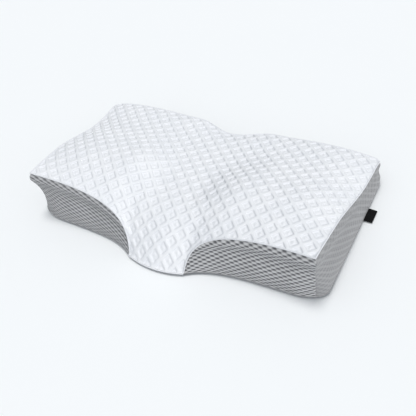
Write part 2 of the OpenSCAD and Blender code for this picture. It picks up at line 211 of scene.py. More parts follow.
def settle(points):
    """The soft wall draws in at its left front corner, its foot creeps forward beside it, and the
    front edge of the base curls off the floor."""
    points = np.array(points, float)
    x, y, z = points[..., 0].copy(), points[..., 1].copy(), points[..., 2].copy()
    near = 1 - smooth(0, 110, y)
    drawn = mix(0.6, 1, smooth(0, 30, z)) * (1 - smooth(40, 95, z)) * near * smooth(230, 290, -x)
    crept = (1 - smooth(0, 60, z)) * near * smooth(60, 200, -x)
    rim = np.interp(np.arctan2(y - CENTRE_Y, x), *FOOT, period=2 * np.pi) - np.hypot(x, y - CENTRE_Y)
    curl = (1 - smooth(0, 20, rim)) * (1 - smooth(1, 9, z)) * (1 - smooth(20, 90, y))
    points[..., 0] += DRAWN_IN * drawn
    points[..., 1] -= CREPT * crept + CURL_FORWARD * curl
    points[..., 2] += CURL_UP * curl
    return points


# ---- mesh helpers ----------------------------------------------------------------------------


def add_object(name, mesh, material, body="pillow", slot=None, replaces=()):
    piece = bpy.data.objects.new(name, mesh)
    bpy.context.scene.collection.objects.link(piece)
    mesh.materials.append(material)
    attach(piece, body)
    if replaces:
        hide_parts(*replaces)
    return piece


def make_mesh(name, points, faces, uv=None):
    """A smooth mesh from points in millimetres and faces of one size; uv is per point."""
    mesh = bpy.data.meshes.new(name)
    points = settle(points).reshape(-1, 3)
    faces = np.asarray(faces, np.int32)
    n, k = faces.shape
    mesh.vertices.add(len(points))
    mesh.vertices.foreach_set("co", (points * 0.001).ravel())
    mesh.loops.add(n * k)
    mesh.loops.foreach_set("vertex_index", faces.ravel())
    mesh.polygons.add(n)
    mesh.polygons.foreach_set("loop_start", np.arange(0, n * k, k, dtype=np.int32))
    mesh.polygons.foreach_set("use_smooth", np.ones(n, bool))
    mesh.update(calc_edges=True)
    if uv is not None:
        layer = mesh.uv_layers.new(name="cloth")
        layer.data.foreach_set("uv", np.asarray(uv, float).reshape(-1, 2)[faces.ravel()].ravel())
    mesh.validate()
    return mesh


def grid_faces(rows, cols, ring=False, flip=False):
    """Quads over a grid of points; ring joins the last column to the first."""
    r, c = np.meshgrid(np.arange(rows - 1), np.arange(cols if ring else cols - 1), indexing="ij")
    c2 = (c + 1) % cols
    quads = np.stack([r * cols + c, r * cols + c2, (r + 1) * cols + c2, (r + 1) * cols + c], -1)
    quads = quads.reshape(-1, 4)
    return quads[:, ::-1] if flip else quads


def normals(points):
    """Unit normals of a grid of points, rows upwards and columns to the right."""
    across = np.gradient(points, axis=1)
    up = np.gradient(points, axis=0)
    n = np.cross(across, up)
    return n / np.maximum(np.linalg.norm(n, axis=-1, keepdims=True), 1e-9)


def lengths(points, axis=0):
    """Length along a line of points, starting at 0."""
    step = np.linalg.norm(np.diff(points, axis=axis), axis=-1)
    pad = np.zeros_like(np.take(step, [0], axis=axis))
    return np.cumsum(np.concatenate([pad, step], axis=axis), axis=axis)


def spaced(weight_at, count, fine=4001):
    """count parameters from 0 to 1, spaced evenly by the measure weight_at gives over them."""
    t = np.linspace(0, 1, fine)
    return np.interp(np.linspace(0, 1, count), weight_at(t), t)


def along(path, count):
    """A line of points resampled to count even steps."""
    length = lengths(path)
    even = np.linspace(0, length[-1], count)
    return np.stack([np.interp(even, length, path[:, k]) for k in range(3)], -1)


def tube(name, path, radius, material, closed=False, sides=10, squash=1.0, **given):
    """A round rope of thread or cloth along a path of points in millimetres."""
    path = np.asarray(path, float)
    if closed:
        ahead = np.roll(path, -1, 0) - np.roll(path, 1, 0)
    else:
        ahead = np.gradient(path, axis=0)
    ahead /= np.maximum(np.linalg.norm(ahead, axis=1, keepdims=True), 1e-9)
    side = np.cross(ahead, [0, 0, 1.0])
    side[np.linalg.norm(side, axis=1) < 0.05] = [1.0, 0, 0]
    side /= np.linalg.norm(side, axis=1, keepdims=True)
    up = np.cross(side, ahead)
    a = np.linspace(0, 2 * np.pi, sides, endpoint=False)
    r = np.broadcast_to(radius, len(path))[:, None, None]
    ring = path[:, None] + r * (np.cos(a)[None, :, None] * side[:, None] * squash
                                + np.sin(a)[None, :, None] * up[:, None])
    n = len(path)
    points = ring.reshape(-1, 3)
    i, j = np.meshgrid(np.arange(n if closed else n - 1), np.arange(sides), indexing="ij")
    i2, j2 = (i + 1) % n, (j + 1) % sides
    faces = np.stack([i * sides + j, i2 * sides + j, i2 * sides + j2, i * sides + j2], -1).reshape(-1, 4)
    if not closed:
        ends = np.array([path[0], path[-1]])
        points = np.concatenate([points, ends])
        k = np.arange(sides)
        k2 = (k + 1) % sides
        tail = (n - 1) * sides + k
        first = np.stack([np.full(sides, n * sides), k, k2, k2], -1)
        last = np.stack([np.full(sides, n * sides + 1), (n - 1) * sides + k2, tail, tail], -1)
        faces = [list(f) for f in faces] + [list(f[:3]) for f in first] + [list(f[:3]) for f in last]
        mesh = bpy.data.meshes.new(name)
        mesh.from_pydata((points * 0.001).tolist(), [], faces)
        mesh.polygons.foreach_set("use_smooth", np.ones(len(faces), bool))
        mesh.update()
    else:
        mesh = make_mesh(name, points, faces)
    return add_object(name, mesh, material, **given)


# ---- materials ---------------------------------------------------------------------------------


class Shader:
    """A small builder for one node material."""

    def __init__(self, name, roughness=0.85, **sockets):
        self.material = bpy.data.materials.new(name)
        self.material.use_nodes = True
        self.tree = self.material.node_tree
        self.bsdf = self.tree.nodes["Principled BSDF"]
        self.bsdf.inputs["Roughness"].default_value = roughness
        for key, value in sockets.items():
            self.bsdf.inputs[key.replace("_", " ")].default_value = value

    def link(self, value, socket):
        if isinstance(value, bpy.types.NodeSocket):
            self.tree.links.new(value, socket)
        else:
            socket.default_value = value

    def node(self, kind, **settings):
        made = self.tree.nodes.new(kind)
        for key, value in settings.items():
            setattr(made, key, value)
        return made

    def math(self, operation, a, b=0.0, c=0.0):
        made = self.node("ShaderNodeMath", operation=operation)
        for socket, value in zip(made.inputs, (a, b, c)):
            self.link(value, socket)
        return made.outputs[0]

    def ramp(self, value, low, high, to_low=0.0, to_high=1.0):
        made = self.node("ShaderNodeMapRange", interpolation_type="SMOOTHSTEP")
        for socket, given in zip(made.inputs, (value, low, high, to_low, to_high)):
            self.link(given, socket)
        return made.outputs[0]

    def colour(self, share, a, b):
        made = self.node("ShaderNodeMix", data_type="RGBA")
        self.link(share, made.inputs["Factor"])
        for socket, value in ((made.inputs[6], a), (made.inputs[7], b)):
            self.link(value if isinstance(value, bpy.types.NodeSocket) else (*value, 1), socket)
        return made.outputs[2]

    def uv(self):
        made = self.node("ShaderNodeSeparateXYZ")
        self.link(self.node("ShaderNodeUVMap", uv_map="cloth").outputs[0], made.inputs[0])
        return made.outputs[0], made.outputs[1]

    def place(self):
        """Object coordinates in millimetres."""
        made = self.node("ShaderNodeMapping")
        self.link(self.node("ShaderNodeTexCoord").outputs["Object"], made.inputs[0])
        made.inputs["Scale"].default_value = (1000, 1000, 1000)
        return made.outputs[0]

    def noise(self, scale, detail=2.0, at=None):
        made = self.node("ShaderNodeTexNoise")
        self.link(at or self.place(), made.inputs["Vector"])
        made.inputs["Scale"].default_value = scale
        made.inputs["Detail"].default_value = detail
        return made.outputs[0]

    def centred(self, value):
        """Distance from the middle of its cell, 0 to 0.5."""
        return self.math("ABSOLUTE", self.math("SUBTRACT", self.math("FRACT", value), 0.5))

    def finish(self, colour, height=None, strength=1.0):
        if not isinstance(colour, bpy.types.NodeSocket):
            colour = (*colour, 1)
        self.link(colour, self.bsdf.inputs["Base Color"])
        if height is not None:
            bump = self.node("ShaderNodeBump")
            bump.inputs["Strength"].default_value = strength
            bump.inputs["Distance"].default_value = 0.001
            self.link(height, bump.inputs["Height"])
            self.link(bump.outputs[0], self.bsdf.inputs["Normal"])
        return self.material


def sine(shader, value, times):
    return shader.math("SINE", shader.math("MULTIPLY", value, 2 * math.pi * times))


def quilt_material():
    """White double knit with recessed squares, a small boss in each and a fine rib; the grooves and sunk
    squares carry painted shade.
    """
    m = Shader("quilted white knit", 0.8, Sheen_Weight=0.25, Sheen_Roughness=0.5)
    m.bsdf.inputs["Specular IOR Level"].default_value = 0.25
    p, q = m.uv()
    a, b = m.centred(p), m.centred(q)
    far = m.math("MAXIMUM", a, b)
    band = m.ramp(far, 0.315, 0.36)
    boss = m.ramp(far, 0.13, 0.075)
    line = m.math("MULTIPLY", m.ramp(far, 0.29, 0.335), m.ramp(far, 0.38, 0.345))
    rib = m.math("MULTIPLY", sine(m, p, 22), sine(m, q, 22))
    fuzz = m.noise(0.9, 3)
    patch = m.noise(0.02, 2)
    white = m.colour(m.ramp(patch, 0.3, 0.7), (0.83, 0.85, 0.885), (0.87, 0.885, 0.915))
    # Painted shade in the groove: the ring at each square's sloping wall is darkened.
    shade = m.colour(m.math("MULTIPLY", line, 0.2), white, (0.55, 0.58, 0.64))
    # Painted shade in the recess: each sunk square is darkened a little.
    recess_painted_shade = m.colour(m.math("MULTIPLY", m.math("SUBTRACT", 1.0, band), 0.1), shade, (0.76, 0.78, 0.84))
    fine = m.colour(m.ramp(fuzz, 0.2, 0.8, 0.0, 0.1), recess_painted_shade, (0.74, 0.76, 0.8))
    height = m.math("MULTIPLY_ADD", band, 0.45, m.math("MULTIPLY", boss, 0.3))
    height = m.math("MULTIPLY_ADD", rib, 0.07, height)
    height = m.math("MULTIPLY_ADD", fuzz, 0.15, height)
    return m.finish(fine, height)


def mesh_material(name, weave, hole_painted_shade, thread_tone, fine=0.0):
    """Grey spacer mesh: slanting leaf-shaped holes between two sets of lighter threads, the holes darkened as
    painted shade inside them.
    """
    m = Shader(name, 0.75, Sheen_Weight=0.15)
    m.bsdf.inputs["Specular IOR Level"].default_value = 0.25
    p, q = m.uv()
    share = weave[2]
    first = m.math("MULTIPLY", m.math("COSINE", m.math("MULTIPLY", p, 2 * math.pi)), -0.5 * share)
    second = m.math("MULTIPLY", m.math("COSINE", m.math("MULTIPLY", q, 2 * math.pi)), -0.5 * (1 - share))
    wave = m.math("ADD", m.math("ADD", first, second), 0.5)
    hole = m.ramp(wave, 0.12, 0.98)
    line = m.math("MULTIPLY_ADD", m.math("COSINE", m.math("MULTIPLY", p, 4 * math.pi)), 0.5, 0.5)
    twist = m.math("MULTIPLY_ADD", sine(m, m.math("MULTIPLY_ADD", q, 0.9, p), 9), 0.5, 0.5)
    rib = m.math("MULTIPLY_ADD", sine(m, m.math("SUBTRACT", p, q), 8), 0.5, 0.5)
    patch = m.noise(0.03, 2)
    thread = m.colour(m.ramp(patch, 0.3, 0.7), tuple(0.92 * c for c in thread_tone), thread_tone)
    thread = m.colour(m.math("MULTIPLY", twist, 0.2), thread, tuple(0.7 * c for c in thread_tone))
    # Painted shade: the holes take their dark tone.
    grey = m.colour(hole, thread, hole_painted_shade)
    grey = m.colour(m.math("MULTIPLY", m.math("POWER", line, 3.0), fine), grey, thread_tone)
    height = m.math("MULTIPLY_ADD", hole, -0.7, m.math("MULTIPLY", twist, 0.12))
    return m.finish(grey, m.math("MULTIPLY_ADD", rib, 0.06, height))


def knit_material(name, dark, light, wale=1.1, roughness=0.85):
    """A plain weft knit: columns of small loops in object space."""
    m = Shader(name, roughness, Sheen_Weight=0.2)
    m.bsdf.inputs["Specular IOR Level"].default_value = 0.25
    at = m.node("ShaderNodeSeparateXYZ")
    m.link(m.place(), at.inputs[0])
    x, y, z = at.outputs
    column = m.math("MULTIPLY_ADD", sine(m, x, 1 / wale), 0.5, 0.5)
    row = m.math("ADD", m.math("ADD", y, z), m.math("MULTIPLY", sine(m, x, 0.5 / wale), 0.25))
    loop = m.math("MULTIPLY_ADD", sine(m, row, 1.25 / wale), 0.5, 0.5)
    weave = m.math("MULTIPLY", column, loop)
    fuzz = m.noise(0.5, 3)
    shade = m.colour(m.ramp(weave, 0.1, 0.8), dark, light)
    shade = m.colour(m.ramp(fuzz, 0.3, 0.75, 0.0, 0.25), shade, dark)
    return m.finish(shade, m.math("MULTIPLY_ADD", fuzz, 0.1, m.math("MULTIPLY", weave, 0.16)))


def foam_material():
    m = Shader("moulded foam skin", 0.7, Subsurface_Weight=0.1)
    cells = m.node("ShaderNodeTexVoronoi")
    m.link(m.place(), cells.inputs["Vector"])
    cells.inputs["Scale"].default_value = 0.7
    pores = m.ramp(cells.outputs["Distance"], 0.12, 0.3)
    shade = m.colour(pores, (0.8, 0.73, 0.55), (0.93, 0.88, 0.74))
    shade = m.colour(m.ramp(m.noise(0.01, 3), 0.35, 0.7, 0.0, 0.4), shade, (0.88, 0.8, 0.6))
    return m.finish(shade, m.math("MULTIPLY", pores, 0.25))


def metal_material(name, tone):
    m = Shader(name, 0.34, Metallic=1.0)
    at = m.node("ShaderNodeMapping")
    m.link(m.place(), at.inputs[0])
    at.inputs["Scale"].default_value = (0.4, 6, 6)
    grain = m.noise(1.0, 4, at.outputs[0])
    shade = m.colour(m.ramp(grain, 0.3, 0.7), tuple(0.82 * c for c in tone), tone)
    m.link(m.ramp(grain, 0.2, 0.8, 0.28, 0.46), m.bsdf.inputs["Roughness"])
    return m.finish(shade, m.math("MULTIPLY", grain, 0.02))


def thread_material(name, tone, pitch=0.9):
    """Twisted thread or cord: slanting strands round it."""
    m = Shader(name, 0.7, Sheen_Weight=0.3)
    at = m.node("ShaderNodeSeparateXYZ")
    m.link(m.place(), at.inputs[0])
    x, y, z = at.outputs
    strand = sine(m, m.math("ADD", m.math("ADD", x, y), m.math("MULTIPLY", z, 1.6)), 1 / pitch)
    strand = m.math("MULTIPLY_ADD", strand, 0.5, 0.5)
    shade = m.colour(m.math("MULTIPLY", strand, 0.4), tone, tuple(0.6 * c for c in tone))
    return m.finish(shade, m.math("MULTIPLY", strand, 0.12))


def ribbon_material():
    """Black satin ribbon with a fine rib along it."""
    m = Shader("black woven ribbon", 0.7, Sheen_Weight=0.02)
    m.bsdf.inputs["Specular IOR Level"].default_value = 0.12
    at = m.node("ShaderNodeSeparateXYZ")
    m.link(m.place(), at.inputs[0])
    x, y, _ = at.outputs
    rib = m.math("MULTIPLY_ADD", sine(m, y, 1.6), 0.5, 0.5)
    pick = m.math("MULTIPLY_ADD", sine(m, x, 1.1), 0.5, 0.5)
    weave = m.math("MULTIPLY", rib, pick)
    shade = m.colour(weave, (0.003, 0.003, 0.0035), (0.009, 0.009, 0.01))
    return m.finish(shade, m.math("MULTIPLY", weave, 0.12))


QUILT = quilt_material()
# The three bands are one grey cloth; their different hole and thread tones are painted light and shade, each
# set to how brightly that band is lit.
MESH_RIGHT = mesh_material("grey spacer mesh right", WEAVE_RIGHT, (0.1, 0.103, 0.112), (0.6, 0.605, 0.62))
MESH_LEFT = mesh_material("grey spacer mesh left", WEAVE_LEFT, (0.14, 0.143, 0.152), (0.52, 0.525, 0.54))
MESH_SIDE = mesh_material("grey spacer mesh side", WEAVE_SIDE, (0.24, 0.243, 0.252),
                          (0.365, 0.368, 0.38), 0.4)
ROLL_WHITE = knit_material("white seam roll", (0.74, 0.76, 0.8), (0.92, 0.93, 0.96), 0.9)
BASE_KNIT = knit_material("grey base knit", (0.26, 0.265, 0.275), (0.44, 0.445, 0.46), 1.3)
SEAM_GREY = knit_material("grey seam tape", (0.3, 0.305, 0.315), (0.5, 0.505, 0.52), 0.8)
LINER = knit_material("liner knit", (0.72, 0.72, 0.69), (0.9, 0.9, 0.87), 1.4)
FOAM = foam_material()
TAPE = knit_material("woven zip tape", (0.27, 0.275, 0.285), (0.42, 0.425, 0.44), 0.7, 0.7)
COIL = thread_material("nylon zip coil", (0.3, 0.305, 0.32), 0.7)
METAL = metal_material("plated zip metal", (0.62, 0.63, 0.65))
THREAD = thread_material("grey sewing thread", (0.5, 0.505, 0.52), 0.5)
RIBBON = ribbon_material()

# ---- quilted top panel -----------------------------------------------------------------------

GRID_S = np.arange(0, 321.0)
GRID_Y = np.arange(-60, 321.0)


def cloth_maps():
    """Lengths over the surface: across from the middle line, and along from a line at mid depth.
    The quilting gives a little where the surface is steep, so its squares stay near their size."""
    s, y = np.meshgrid(GRID_S, GRID_Y)
    z = surface_z(s, y)
    window = np.hanning(27)[1:-1]

    def eased(slope):
        rate = np.minimum(np.hypot(1, slope), 1.3)
        for axis in (0, 1):
            wide = np.pad(rate, [(12, 12) if k == axis else (0, 0) for k in (0, 1)], mode="edge")
            rate = np.apply_along_axis(np.convolve, axis, wide, window / window.sum(), mode="valid")
        return rate

    across = np.cumsum(eased(np.gradient(z, axis=1)), axis=1)
    along_y = np.cumsum(eased(np.gradient(z, axis=0)), axis=0)
    middle = int(np.argmin(np.abs(GRID_Y - 110)))
    return across - across[:, :1], along_y - along_y[middle]


ACROSS, ALONG = cloth_maps()


def look_up(table, s, y):
    i = np.clip(s - GRID_S[0], 0, len(GRID_S) - 1.001)
    j = np.clip(y - GRID_Y[0], 0, len(GRID_Y) - 1.001)
    i0, j0 = i.astype(int), j.astype(int)
    fi, fj = i - i0, j - j0
    low = mix(table[j0, i0], table[j0, i0 + 1], fi)
    high = mix(table[j0 + 1, i0], table[j0 + 1, i0 + 1], fi)
    return mix(low, high, fj)


def cloth_cells(x, y):
    """Cell coordinates of the quilting, whose squares stand on their corners."""
    u = np.sign(x) * look_up(ACROSS, np.abs(x), y)
    v = look_up(ALONG, np.abs(x), y)
    return (u + v) / math.sqrt(2) / CELL, (v - u) / math.sqrt(2) / CELL


def quilt_height(p, q):
    """Relief in millimetres: bands near 0, squares sunk, with a low boss in the middle."""
    a, b = np.abs(p % 1 - 0.5), np.abs(q % 1 - 0.5)
    far = (a**8 + b**8) ** (1 / 8)
    band = smooth(0.25, 0.4, far)
    puff = QUILT_PUFF * (1 - np.clip(far / 0.3, 0, 1) ** 2)
    boss = QUILT_BOSS * smooth(0.14, 0.06, far)
    return mix(-QUILT_RECESS + puff + boss, QUILT_BAND * np.cos(2 * np.pi * (0.5 - far)), band)


def even_u(count):
    """Stations across, closer together where the front seam climbs beside the tongue."""
    def measure(t):
        seam, middle = skin_point(t, 0), skin_point(t, 0.4)
        a, b = lengths(seam), lengths(middle)
        return 0.4 * a / a[-1] + 0.6 * b / b[-1]
    half = spaced(measure, count)
    return np.concatenate([-half[:0:-1], half])


def even_t(count):
    def measure(t):
        total = 0
        for u, weight in ((0.0, 2.0), (0.25, 1.5), (0.6, 1.0), (1.0, 1.0)):
            length = lengths(skin_point(u, t))
            total = total + weight * length / length[-1]
        return total / total[-1]
    return spaced(measure, count)


def make_top(nu, nt):
    u, t = np.meshgrid(even_u(nu), even_t(nt))
    skin = skin_point(u, t)
    out = normals(skin)
    p, q = cloth_cells(skin[..., 0], skin[..., 1])
    edge = np.minimum(np.minimum(lengths(skin, 0), lengths(skin[::-1], 0)[::-1]),
                      np.minimum(lengths(skin, 1), lengths(skin[:, ::-1], 1)[:, ::-1]))
    relief = quilt_height(p, q) * smooth(0.5, 4, edge) - 0.5 * smooth(3, 0, edge)
    points = skin + out * relief[..., None]
    mesh = make_mesh("quilt_top_panel", points, grid_faces(*u.shape), np.stack([p, q], -1))
    return add_object("quilt_top_panel", mesh, QUILT, slot="quilted_white", replaces=["cover_top_panel"])


make_top(*(((206, 240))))

# ---- side bands -------------------------------------------------------------------------------


def wall_columns(seam, top, foot, rows, low):
    """Columns from low up to top: straight above the foot, then out to the seam in a soft S,
    or evenly from the zip up at the back. seam is the same column on the outer skin."""
    back = smooth(DEPTH - NOTCH_DEPTH - 30, DEPTH - NOTCH_DEPTH, seam[..., 1])
    knee = np.maximum(low + 0.1, mix(0.15, STRIP_HIGH / seam[..., 2], back) * seam[..., 2])
    z = mix(low, top[..., 2], np.linspace(0, 1, rows)[:, None])
    rise = np.clip((z - knee) / (top[..., 2] - knee), 0, 1)
    lean = mix(smooth(0, 0.94, rise), rise, back)
    return np.stack([mix(foot[..., 0], top[..., 0], lean), mix(foot[..., 1], top[..., 1], lean), z], -1)


def woven(run, up, weave):
    """Cell coordinates of the mesh, whose holes stand where both are half way."""
    (a, b), (c, d), _ = weave
    return np.stack([a * run + b * up, c * run + d * up], -1)


def hole_relief(cells, weave):
    wave = 0.5 - 0.5 * (np.cos(2 * np.pi * cells) * [weave[2], 1 - weave[2]]).sum(-1)
    return -1.1 * smooth(0.3, 1.0, wave)


def lip(share, total):
    """How far a band stands out: a soft roll just below its upper seam and a hollow under it."""
    roll, hollow = (size * np.exp(-(((share - middle) / width) ** 2))
                    for size, middle, width in (LIP_ROLL, LIP_HOLLOW))
    out = roll - hollow + LIP_BELLY * np.sin(np.pi * share)
    return out * smooth(0, 0.07, 1 - share) * smooth(10, 90, total)


def band_grid(seam, base, rows, low=BASE_T, weave=WEAVE_RIGHT, depth=1.0, taper=0.0, plump=1.0, corner=None):
    """A band with its holes, rolled below its upper seam and pinched at its end seams. corner is
    the end, 0 or 1, that meets another band at a front corner, and the corner's side."""
    wall = wall_columns(seam, seam - [0, 0, 0.4], base, rows, low)
    out = normals(wall)
    up = lengths(wall, 0)
    run = np.broadcast_to(lengths(mix(base, seam * [1, 1, 0], 0.35))[None], up.shape)
    cells = woven(run, up * (1 - taper * smooth(60, 260, run)), weave)
    total = np.maximum(up[-1:], 1)
    edge = np.minimum(up, total - up)
    ends = [run, run[:, -1:] - run]
    side = np.minimum(*ends)
    far = side
    if corner:
        far = ends[1 - corner[0]]
        share = (1 - smooth(0, 35, ends[corner[0]]))[..., None]
        out = mix(out, np.array([corner[1], -1.0, 0]) / math.sqrt(2), share)
        out = out / np.linalg.norm(out, axis=-1, keepdims=True)
    relief = depth * hole_relief(cells, weave) * smooth(1, 4, edge) * smooth(1, 4, side)
    relief = relief + plump * lip(up / total, total) * mix(0.4, 1, smooth(0, 30, far))
    return wall + out * (relief - 0.7 * smooth(2.5, 0, side))[..., None], cells


def make_band(name, seam, base, rows, cad, material, **given):
    points, cells = band_grid(seam, base, rows, **given)
    mesh = make_mesh(name, points, grid_faces(*points.shape[:2]), cells)
    return add_object(name, mesh, material, slot="mesh_grey", replaces=cad)


FINE = 1.0


def count(mm, step=1.05):
    return max(12, int(mm / step * FINE))


def even_line(point_at, step=1.05):
    """Parameters from 0 to 1 at even steps along the curve point_at gives."""
    length = lengths(point_at(np.linspace(0, 1, 4001)))
    return spaced(lambda t: lengths(point_at(t)) / length[-1], count(length[-1], step))


def front_band(side):
    """From the tongue's root to the corner, or from the left corner to the root."""
    root = TONGUE_HALF / FRONT_HALF

    def middle(t):
        u = mix(root, 1, t)
        return mix(skin_point(u, 0), base_on_front(u), 0.4)
    u = mix(root, 1, even_line(middle))
    if side < 0:
        u = -u[::-1]
    name = "band_front_right" if side > 0 else "band_front_left"
    cad = "gusset_front_right" if side > 0 else "gusset_front_left"
    weave, material = (WEAVE_RIGHT, MESH_RIGHT) if side > 0 else (WEAVE_LEFT, MESH_LEFT)
    make_band(name, skin_point(u, 0), base_on_front(u), count(108), [cad], material, weave=weave,
              corner=(side > 0, side))


def side_line(side):
    """Seam and base points up one side and round its back corner, seen from outside left to right."""
    def seam_base(w):
        on_side = w < 0.9
        t = np.clip(w / 0.9, 0, 1)
        u = mix(1, CORNER_U, np.clip((w - 0.9) / 0.1, 0, 1))
        seam = np.where(on_side[:, None], skin_point(1.0, t), skin_point(u, 1.0))
        base = np.where(on_side[:, None], base_on_side(t), base_on_back(u))
        return seam, base

    w = even_line(lambda w: mix(*seam_base(w), 0.5))
    seam, base = seam_base(w)
    if side < 0:
        seam, base = seam[::-1] * [-1, 1, 1], base[::-1] * [-1, 1, 1]
    return seam, base


def side_band(side):
    name = "band_side_right" if side > 0 else "band_side_left"
    cad = "gusset_right_side" if side > 0 else "gusset_left_side"
    seam, base = side_line(side)
    make_band(name, seam, base, count(104), [cad], MESH_SIDE, weave=WEAVE_SIDE, depth=0.35,
              taper=RIGHT_SIDE_TAPER * (side > 0), corner=(side < 0, side))


def back_band():
    """The strip above the zip, with a folded lower edge."""
    u = np.linspace(CORNER_U, -CORNER_U, count(530))
    seam, base = skin_point(u, 1), base_on_back(u)
    points, uv = band_grid(seam, base, count(30) + 4, STRIP_HIGH, weave=WEAVE_SIDE, depth=0.6, plump=0.3)
    fold = points[:1] + np.array([[[0, -1.9, 5.0]], [[0, -1.8, 0.4]], [[0, -0.9, -0.35]]])
    points = np.concatenate([fold, points])
    uv = np.concatenate([uv[:1] + np.array([[[0, 1.0]], [[0, 0.4]], [[0, 0.1]]]), uv])
    mesh = make_mesh("band_back_upper", points, grid_faces(*points.shape[:2]), uv)
    add_object("band_back_upper", mesh, MESH_SIDE, slot="mesh_grey", replaces=["gusset_back_upper"])


def back_lower_band():
    """The strip below the zip, with a folded upper edge."""
    x = np.linspace(CORNER_U * BACK_HALF, -CORNER_U * BACK_HALF, count(530))
    z = np.linspace(BASE_T, STRIP_LOW, count(STRIP_LOW - BASE_T) + 3)
    grid_x, grid_z = np.meshgrid(x, z)
    uv = woven(x[0] - grid_x, grid_z - BASE_T, WEAVE_SIDE)
    edge = np.minimum(grid_z - BASE_T, STRIP_LOW - grid_z)
    y = BACK_Y + 0.6 * hole_relief(uv, WEAVE_SIDE) * smooth(0.5, 2.5, edge)
    points = np.stack([grid_x, y, grid_z], -1)
    fold = points[-1:] + np.array([[[0, -0.9, 0.35]], [[0, -1.8, -0.4]], [[0, -1.9, -5.0]]])
    points = np.concatenate([points, fold])
    uv = np.concatenate([uv, uv[-1:] - np.array([[[0, 0.1]], [[0, 0.4]], [[0, 1.0]]])])
    mesh = make_mesh("band_back_lower", points, grid_faces(*points.shape[:2]), uv)
    add_object("band_back_lower", mesh, MESH_SIDE, slot="mesh_grey", replaces=["gusset_back_lower"])


for side in (-1, 1):
    front_band(side)
    side_band(side)
back_band()
back_lower_band()

# ---- base panel and seams -----------------------------------------------------------------------


def seam_ring(step=1.6):
    """The closed line of the top panel's edge, against the clock from above."""
    front_u = np.linspace(-1, 1, 3001)
    front_u = np.sign(front_u) * np.abs(front_u)
    t = np.linspace(0, 1, 1200)
    front = skin_point(front_u, 0)[:-1]
    right = skin_point(1.0, t)[:-1]
    back = skin_point(-front_u, 1)[:-1]
    left = (skin_point(1.0, t) * [-1, 1, 1])[::-1][:-1]
    ring = np.concatenate([front, right, back, left])
    ring = np.concatenate([ring, ring[:1]])
    return along(ring, int(lengths(ring)[-1] / step))[:-1]


def base_ring(step=2.0):
    """The closed outline of the base, against the clock from above."""
    u, t = np.linspace(-1, 1, 1501), np.linspace(0, 1, 900)
    right = base_on_side(t)
    left = (right * [-1, 1, 1])[::-1]
    ring = np.concatenate([base_on_front(u)[:-1], right[:-1], base_on_back(-u)[:-1], left])
    return along(ring, int(lengths(ring)[-1] / step))[:-1]


def make_base():
    """A grey knit panel: its face below, a rounded edge, and the seam allowance turned in above."""
    ring = base_ring()
    centre = np.array([0, CENTRE_Y, 0])
    rows = []
    for share in np.linspace(0.0, 1, 60):
        flat = centre + (ring - centre) * share * (1 - 1.2 / 316)
        rows.append(flat + [0, 0, 0.12])
    for inward, z in ((1.0, 0.25), (0.35, 0.7), (0.1, 1.3), (0.45, 1.8), (1.3, 2.0), (4.0, 2.0)):
        rows.append(centre + (ring - centre) * (1 - inward / 316) + [0, 0, z])
    points = np.stack(rows)
    mesh = make_mesh("base_panel_knit", points, grid_faces(*points.shape[:2], ring=True, flip=True))
    add_object("base_panel_knit", mesh, BASE_KNIT, slot="base_grey", replaces=["cover_bottom_panel"])


make_base()
ring = seam_ring()
tube("seam_roll_top", ring + [0, 0, -0.5], 1.25, ROLL_WHITE, closed=True, slot="quilted_white")
low_ring = base_ring(2.0)
low_ring = low_ring * (1 - 0.6 / 316) + [0, CENTRE_Y * 0.6 / 316, 2.3]
tube("seam_roll_base", low_ring, 0.9, SEAM_GREY, closed=True, slot="base_grey")

# ---- foam core and liner ------------------------------------------------------------------------


def rim_walk(nt, nu):
    """Indices round a grid's edge, against the clock from above."""
    front = [(0, c) for c in range(nu - 1)]
    right = [(r, nu - 1) for r in range(nt - 1)]
    back = [(nt - 1, c) for c in range(nu - 1, 0, -1)]
    left = [(r, 0) for r in range(nt - 1, 0, -1)]
    return front + right + back + left


def round_walls(u, t, d, low, rows):
    """Wall columns round the whole pillow, d inside the skin, from the seam down to low."""
    seams, bases = [], []
    for r, c in rim_walk(len(t), len(u)):
        seams.append(skin_point(u[c], t[r]))
        if r == 0 and c < len(u) - 1:
            bases.append(base_on_front(u[c]))
        elif r == len(t) - 1 and c > 0:
            bases.append(base_on_back(u[c]))
        else:
            bases.append(base_on_side(t[r]) * [np.sign(u[c]), 1, 1])
    seams, bases = np.array(seams), np.array(bases)
    return wall_columns(seams, inset(seams, d), inset(bases, d), rows, low)[::-1]


